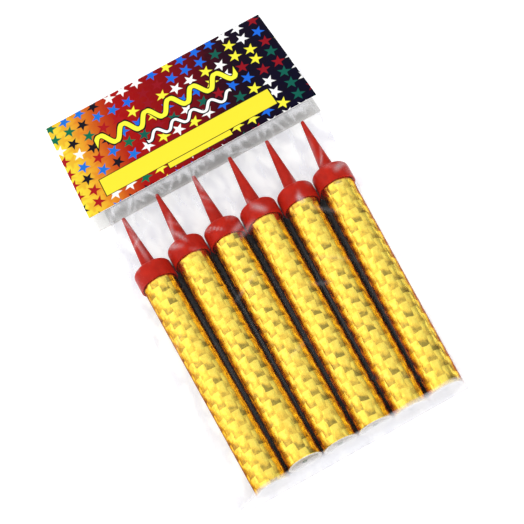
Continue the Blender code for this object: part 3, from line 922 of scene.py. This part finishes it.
def make_card(finish_print, finish_board):
    """The card bent over its fold: up the back panel, half round the fold, down the front panel.

    Beyond the fold the front panel runs straight at the card's opening angle.
    """
    back = np.linspace(0, CARD_PANEL, CARD_PANEL_ROWS)
    fold = CARD_PANEL + np.linspace(0, CARD_BEND, CARD_FOLD_ROWS + 1)[1:]
    front = CARD_PANEL + CARD_BEND + np.linspace(0, CARD_PANEL, CARD_PANEL_ROWS)[1:]
    walk = np.concatenate([back, fold, front])
    angle = np.clip((walk - CARD_PANEL) / CARD_FOLD_RADIUS, 0, math.pi - CARD_OPENING)
    past = np.maximum(walk - CARD_PANEL - CARD_BEND, 0)
    y = np.minimum(walk, CARD_PANEL) + CARD_FOLD_RADIUS * np.sin(angle) - past * math.cos(CARD_OPENING)
    z = CARD_FOLD_RADIUS * (1 - np.cos(angle)) + past * math.sin(CARD_OPENING)
    x = np.linspace(-CARD_WIDTH / 2, CARD_WIDTH / 2, CARD_COLUMNS)
    grid = np.broadcast_arrays(x[None, :], y[:, None], z[:, None])
    points = on_card(*grid)
    shape = (len(walk), CARD_COLUMNS)
    faces = faces_of_grid(*shape)[:, ::-1]
    rows_v = walk / walk[-1]
    r, c = np.divmod(faces, CARD_COLUMNS)
    uv = np.stack((c / (CARD_COLUMNS - 1), rows_v[r]), axis=-1)
    made = piece("header_card_sheet", points, faces, uv.reshape(-1, 2), [finish_print, finish_board])
    board = made.modifiers.new("Board", "SOLIDIFY")
    board.thickness = CARD_THICKNESS
    board.offset = -1
    board.use_even_offset = True
    board.material_offset = 1
    board.material_offset_rim = 1
    settle(made, "pack", "printed_card", "header_card")


def ridge(x, y, start, end, width):
    """A crease from start to end: a bell across its line, faded towards both ends by a sine."""
    step = np.subtract(end, start)
    length = np.hypot(*step)
    direction = step / length
    along = ((x - start[0]) * direction[0] + (y - start[1]) * direction[1]) / length
    off = (y - start[1]) * direction[0] - (x - start[0]) * direction[1]
    return np.sin(np.pi * np.clip(along, 0, 1)) * np.exp(-((off / width) ** 2))


def film_creases(x, y, rim, top):
    """Creases of the upper film: (height, whiteness) at each point, each crease a ridge. The whiteness is
    milk and painted glints.

    They run lengthways between the caps and the card, are gathered at the mouth, slant over the
    caps as painted glints with no height, and a few cross the tubes. A painted veil of light lies across
    the mouth, and a painted highlight along each dip between two tubes.
    """
    chance = np.random.default_rng(11)
    height = np.zeros_like(x)
    white = np.zeros_like(x)

    def crease(low, high, swing, lengths):
        """Start and end: a start between two rows, and an end at a chance distance and swing."""
        start = (chance.uniform(x.min(), x.max()), chance.uniform(low, high))
        turn = swing()
        length = chance.uniform(*lengths) * MM
        return start, (start[0] + length * math.sin(turn), start[1] + length * math.cos(turn))

    count, lengths, heights, whites = LONG_CREASES
    for _ in range(count):
        ends = crease(rim + 6 * MM, top + 12 * MM, lambda: chance.normal(0, 0.45), lengths)
        width = chance.uniform(0.6, 1.6) * MM
        height += chance.uniform(*heights) * MM * ridge(x, y, *ends, width)
        white += chance.uniform(*whites) * ridge(x, y, *ends, 0.7 * width)
    mouth = y.max() - MOUTH_DEPTH
    count, lengths, heights, whites = MOUTH_CREASES
    for _ in range(count):
        ends = crease(mouth - 12 * MM, mouth + 3 * MM, lambda: chance.normal(0, 0.35), lengths)
        height += chance.uniform(*heights) * MM * ridge(x, y, *ends, 1.2 * MM)
        white += chance.uniform(*whites) * ridge(x, y, *ends, chance.uniform(0.3, 0.9) * MM)
    # Gathered film is milky across the mouth, more in some folds than in others. This milk is also painted
    # light that lifts the shade under the front panel
    row = y - ROW_SLOPE * (x - MIDDLE_X)
    mouth_row = CARD_ORIGIN[1] - ROW_SLOPE * (CARD_ORIGIN[0] - MIDDLE_X)
    wide_pitch, narrow_pitch = MOUTH_FOLD_PITCHES
    folds = 0.65 + 0.3 * np.sin(x / wide_pitch) * np.sin(x / narrow_pitch)
    white += folds * np.exp(-(((row - mouth_row) / MOUTH_LIGHT_VEIL_WIDTH) ** 2))
    # Painted glints on the film over the caps: whiteness only, no height
    count, lengths, whites = CAP_GLINTS
    for _ in range(count):
        ends = crease(rim - 3 * MM, rim + 14 * MM, lambda: chance.uniform(-1.2, 1.2), lengths)
        white += chance.uniform(*whites) * ridge(x, y, *ends, chance.uniform(0.4, 1.4) * MM)
    count, lengths, heights, whites = CROSS_CREASES
    for _ in range(count):
        ends = crease(y.min(), rim, lambda: chance.choice((-1, 1)) * chance.uniform(0.6, 1.3), lengths)
        height += chance.uniform(*heights) * MM * ridge(x, y, *ends, 1.2 * MM)
        white += chance.uniform(*whites) * ridge(x, y, *ends, 0.8 * MM)
    # Where the film dips between two tubes it gets a thin painted highlight along them
    for number in range(1, CANDLES):
        here, beside = (np.stack((AXES[k][0], AXES[k][0] + RIM * AXES[k][3])) for k in (number, number + 1))
        white += DIP_HIGHLIGHT_WHITE * ridge(x, y, *((here + beside) / 2)[:, :2], DIP_HIGHLIGHT_WIDTH)
    return height, np.minimum(white, 1)


def row_of(number, distance):
    """y of a ring of a candle: where its row, parallel to the card, meets the middle of the bag."""
    foot, _, _, along = AXES[number]
    centre = foot + distance * along
    return centre[1] - ROW_SLOPE * (centre[0] - MIDDLE_X)


def film_section(row, across, radius, share):
    """The upper film over the candles: a row along the bag by a share from its left to its right edge.

    Between the outer crowns it dips by the square of a sine between neighbours. Outside them it
    is an arc about the outer candle as far as the straight line that touches it and meets the edge.
    """
    ends = []
    for number in (1, CANDLES):
        foot, _, _, along = AXES[number]
        ends.append(foot[0] + (row - foot[1]) * along[0] / along[1])
    first_x, last_x = ends
    foot, _, _, along = AXES[1]
    centre = foot[2] + (row - foot[1]) * along[2] / along[1]
    crown = radius + FILM_CLEARANCE
    middle = np.clip((across - SIDE_SHARE) / (1 - 2 * SIDE_SHARE), 0, 1)
    x = first_x + (last_x - first_x) * middle
    z = centre + crown - FILM_DIP * np.sin(np.pi * middle * (CANDLES - 1)) ** 2
    drop = FILM_EDGE - centre
    sides = (
        (-1, first_x, first_x - BAG_LEFT, 1 - across / SIDE_SHARE),
        (1, last_x, crown + RIGHT_FLAP, (across - 1) / SIDE_SHARE + 1),
    )
    for sign, axis_x, out, walk in sides:
        away = np.arctan2(drop, out) + np.arccos(crown / np.hypot(out, drop))
        angle = np.pi / 2 + (away - np.pi / 2) * np.clip(2 * walk, 0, 1)
        run = np.clip(2 * walk - 1, 0, 1)
        arc_z = centre + crown * np.sin(angle)
        side_x = axis_x + sign * (crown * np.cos(angle) * (1 - run) + out * run)
        x = np.where(walk > 0, side_x, x)
        z = np.where(walk > 0, arc_z + (FILM_EDGE - arc_z) * run, z)
    return x, row + ROW_SLOPE * (x - MIDDLE_X), FILM_EDGE + share * (z - FILM_EDGE)


def film_in_card(spread):
    """The two films between the card's panels: the upper one rises from its side edges to the panel."""
    floor = CARD_THICKNESS + GLUE_ROOM
    left, right = MOUTH_TUCK - BAG_WIDTH / 2, BAG_WIDTH / 2
    rows = np.linspace(-FILM_CLEARANCE, MOUTH_DEPTH, MOUTH_ROWS)
    x, y = np.meshgrid(left + spread * (right - left), rows)
    lean_y, lean_z = math.sin(CARD_OPENING), math.cos(CARD_OPENING)
    reach = CARD_PANEL * lean_y + CARD_FOLD_RADIUS * (lean_z + 1) - floor
    top = (reach - y * lean_y) / lean_z
    inward = np.minimum(np.minimum(x - left, right - x) / FILM_RISE, 1)
    rise = inward * inward * (3 - 2 * inward)
    z = floor + FILM_EDGE + rise * (top - floor - FILM_EDGE)
    return on_card(x, y, z), on_card(x, y, np.full_like(x, floor))


def make_film(finish_film):
    """The bag: one film over the candles and one under them, sealed at the foot, open at the mouth.

    Rows run parallel to the card. They follow the candles, then a ruled stretch leads to the card,
    and the last stretch lies between the card's panels. Creases and the waves of the flap are added.
    """
    lean = ROW_SLOPE * CAP_RADIUS
    foot = min(row_of(n, 0) for n in CANDLE_NUMBERS) - lean - FILM_CLEARANCE
    rim = min(row_of(n, RIM) for n in CANDLE_NUMBERS) - lean - FILM_CLEARANCE
    pulled = SHOULDER + SLIDE_TRAVEL + PULL_TRAVEL
    top = max(row_of(n, pulled) for n in CANDLE_NUMBERS) + lean + FILM_CLEARANCE
    row = np.concatenate([
        np.linspace(foot - SEAM_MARGIN, foot, SEAM_ROWS, endpoint=False),
        np.linspace(foot, top, BAG_ROWS),
    ])[:, None]
    swell = np.interp(row, (rim - CAP_RISE, rim), (WRAP_RADIUS, CAP_RADIUS))
    climb = np.clip((row - foot) / SEAM_MARGIN + 1, 0, 1)
    across = np.linspace(0, 1, FILM_COLUMNS)[None, :]
    upper = np.stack(film_section(row, across, swell, 1 - (1 - climb) ** 2), axis=-1)
    lower = upper * (1, 1, 0)

    last = upper[-1, :, 0]
    in_card, in_card_flat = film_in_card((last - last[0]) / (last[-1] - last[0]))
    step = np.linspace(0, 1, NECK_ROWS + 2)[1:-1, None, None]
    neck = upper[-1] + step * (in_card[0] - upper[-1])
    neck_flat = lower[-1] + step * (in_card_flat[0] - lower[-1])
    above = np.concatenate([upper, neck, in_card])
    below = np.concatenate([lower, neck_flat, in_card_flat])

    rows = len(above)
    order = np.arange(rows)[:, None]
    in_card_from = rows - MOUTH_ROWS
    calm_rows = (0, SEAM_ROWS + CALM_ROWS[0], in_card_from - CALM_ROWS[1], in_card_from)
    clear_rows = (SEAM_ROWS, SEAM_ROWS + CLEAR_ROWS[0], in_card_from, in_card_from + CLEAR_ROWS[1])
    calm = np.interp(order, calm_rows, (0, 1, 1, 0))
    clear = np.interp(order, clear_rows, (0, 1, 1, 0))
    height, white = film_creases(above[..., 0], above[..., 1], rim, top)
    above[..., 2] += height * calm
    # The left flap waves a little, upper and lower film together
    room = np.clip(1 - across / FLAP_SHARE, 0, 1) ** 2 * calm
    short_pitch, long_pitch = FLAP_PITCHES
    along = above[..., 1]
    wave = FLAP_WAVE * (1 + np.sin(along / short_pitch) * np.sin(along / long_pitch)) * room
    above[..., 2] += wave
    below[..., 2] += wave

    # Film drawn over the ends of the tubes is pulled tight and is made milky there; the milk also stands in
    # for glare, a painted highlight
    milky = END_GLARE_MILK * np.clip(1 - (order - SEAM_ROWS) / END_MILK_ROWS, 0, 1) * np.ones_like(white)
    # The lower film lies flat, so it needs few columns away from the flap
    flat = np.linspace(FLAP_COLUMNS, FILM_COLUMNS - 1, FLAT_COLUMNS).astype(int)
    kept = np.unique(np.append(np.arange(FLAP_COLUMNS), flat))[::-1]
    ring = np.concatenate([above, below[:, kept]], axis=1)
    milk_and_glints = np.concatenate([np.maximum(white * clear, milky), np.zeros((rows, len(kept)))], axis=1)
    around = ring.shape[1]
    faces = faces_of_grid(rows, around, around=True).tolist()
    # The sealed end: upper and lower film joined across the first row
    for k, (right, left) in enumerate(zip(kept, kept[1:])):
        low = FILM_COLUMNS + k
        faces.append([low + 1, low, *range(right, left - 1, -1)])
    made = piece("clear_bag", ring, faces, finishes=[finish_film], attribute=("crease", milk_and_glints))
    film = made.modifiers.new("Film", "SOLIDIFY")
    film.thickness = FILM_THICKNESS
    film.offset = -1
    settle(made, "pack", "clear_film", "poly_bag")


def dress_nodes(finishes):
    """Gives the CAD nodes that stay visible their finish."""
    for name, node in frame["nodes"].items():
        for ending, made in finishes.items():
            if name.endswith(ending):
                node.data.materials.clear()
                node.data.materials.append(made)


# The studio


def seen_by(add, other):
    """One for what the camera sees, directly or by rays of this other kind."""
    path = add("LightPath").node
    return add("Math MAXIMUM", [path.outputs["Is Camera Ray"], path.outputs[other]])


def make_floor(shadow_box):
    """A pale sweep under the pack: its own white to the camera, its shadows kept, with a painted shadow
    under the tubes and painted patches of light.

    shadow_box is the middle and the half size of the rectangle between the outer tubes' axes, where the
    painted shadow lies.
    """
    bpy.ops.mesh.primitive_plane_add(size=FLOOR_SIZE, location=(0, 0, -FLOOR_DROP))
    floor = bpy.context.object
    floor.name = "floor"
    made = bpy.data.materials.new("white_sweep")
    made.use_nodes = True
    tree = made.node_tree
    add = adder(tree)
    shader = tree.nodes["Principled BSDF"]
    shader.inputs["Roughness"].default_value = 0.9
    seen = seen_by(add, "Is Glossy Ray")
    # The sweep's own white: none under the tubes, where next to no light gets in. There the sweep is also
    # painted dark, a painted shadow
    place = add("TexCoord", output="Object")
    farther = from_box(add, place, *shadow_box)
    open_floor = add("MapRange", [farther, 0.0, FLOOR_FADE, 0.0, FLOOR_LIFT], **SMOOTH)
    lift = add("Math MULTIPLY", [seen, open_floor])
    share = add("Math DIVIDE", [open_floor, FLOOR_LIFT])
    # Painted light: patches of light, as if thrown through the creased film, painted into the sweep's
    # colour. They show only in the shade
    patches = add("Mapping", {"Vector": place, "Scale": (1.0, 0.45, 1.0)})
    dapple = add("TexNoise", {"Vector": patches, "Scale": 1 / FLOOR_DAPPLE, "Detail": 3.0})
    bright = ramp(add, dapple, [(0.4, "#d6d6e0"), (0.6, "#fcfcfc")])
    # Under the tubes the sweep's colour is a dark painted shadow
    paint_with_shadow = laid_over(add, colour("#4c4644"), bright, share)
    tree.links.new(paint_with_shadow, shader.inputs["Base Color"])
    shader.inputs["Emission Color"].default_value = (1.0, 1.0, 1.0, 1.0)
    tree.links.new(lift, shader.inputs["Emission Strength"])
    floor.data.materials.append(made)


def make_sky():
    """One broad softbox overhead, fading to a dim room: white to the camera itself."""
    world = bpy.data.worlds.new("studio")
    bpy.context.scene.world = world
    world.use_nodes = True
    tree = world.node_tree
    add = adder(tree)
    direction = add("TexCoord", output="Generated")
    towards = add("VectorMath DOT_PRODUCT", [direction, SKY_TOWARDS], "Value")
    softbox = add("MapRange", [towards, -0.25, 0.75, SKY_DARK, SKY_BRIGHT], **SMOOTH)
    seen = seen_by(add, "Is Transmission Ray")
    strength = add("Mix", {0: seen, 2: softbox, 3: 1.0}, 0, data_type="FLOAT")
    background = tree.nodes["Background"]
    background.inputs["Color"].default_value = (1.0, 1.0, 1.0, 1.0)
    tree.links.new(strength, background.inputs["Strength"])


def add_lamp(name, place, target, width, height, power):
    """A softbox of this size, turned from its place towards its target."""
    lamp = bpy.data.lights.new(name, "AREA")
    lamp.shape = "RECTANGLE"
    lamp.size = width
    lamp.size_y = height
    lamp.energy = power
    holder = bpy.data.objects.new(name, lamp)
    bpy.context.scene.collection.objects.link(holder)
    holder.location = place
    holder.rotation_euler = (Vector(target) - Vector(place)).to_track_quat("-Z", "Y").to_euler()


def make_camera():
    """The camera: rolled about its own view, tipped down and turned to its heading."""
    camera = bpy.data.cameras.new("photographer")
    camera.lens = CAMERA_LENS
    camera.sensor_width = 36.0
    camera.clip_start = 0.01
    camera.clip_end = 50.0
    holder = bpy.data.objects.new("photographer", camera)
    bpy.context.scene.collection.objects.link(holder)
    turn = (
        Matrix.Rotation(-CAMERA_HEADING, 4, "Z")
        @ Matrix.Rotation(math.pi / 2 - CAMERA_DOWN, 4, "X")
        @ Matrix.Rotation(CAMERA_ROLL, 4, "Z")
    )
    holder.matrix_world = Matrix.Translation(CARD_ORIGIN + np.array(CAMERA_FROM_CARD)) @ turn
    bpy.context.scene.camera = holder


make_camera()
outer_feet = np.array([AXES[1][0][:2], AXES[CANDLES][0][:2]])
lowest = outer_feet.min(axis=0) + (0, FLOOR_FADE)
highest = outer_feet.max(axis=0) + (0, CEILING)
make_floor((((lowest + highest) / 2).tolist(), ((highest - lowest) / 2).tolist()))
make_sky()
for lamp_name, lamp_setting in LAMPS.items():
    add_lamp(lamp_name, *lamp_setting)

gold = gold_foil()
red = red_polyethylene()
for candle in CANDLE_NUMBERS:
    make_wrap(candle, gold)
    make_cap(candle, red)
make_card(printed_card(), card_back())
make_film(clear_film())
clay = pressed_clay()
glue = melted_glue()
dress_nodes({
    "_paper_tube": paper_board(),
    "_clay_plug": clay,
    "_clay_choke": clay,
    "_filling": pressed_filling(),
    "_fuse": fuse_cord(),
    "glue_strip_front": glue,
    "glue_strip_back": glue,
})

bpy.context.scene.view_settings.view_transform = "Standard"
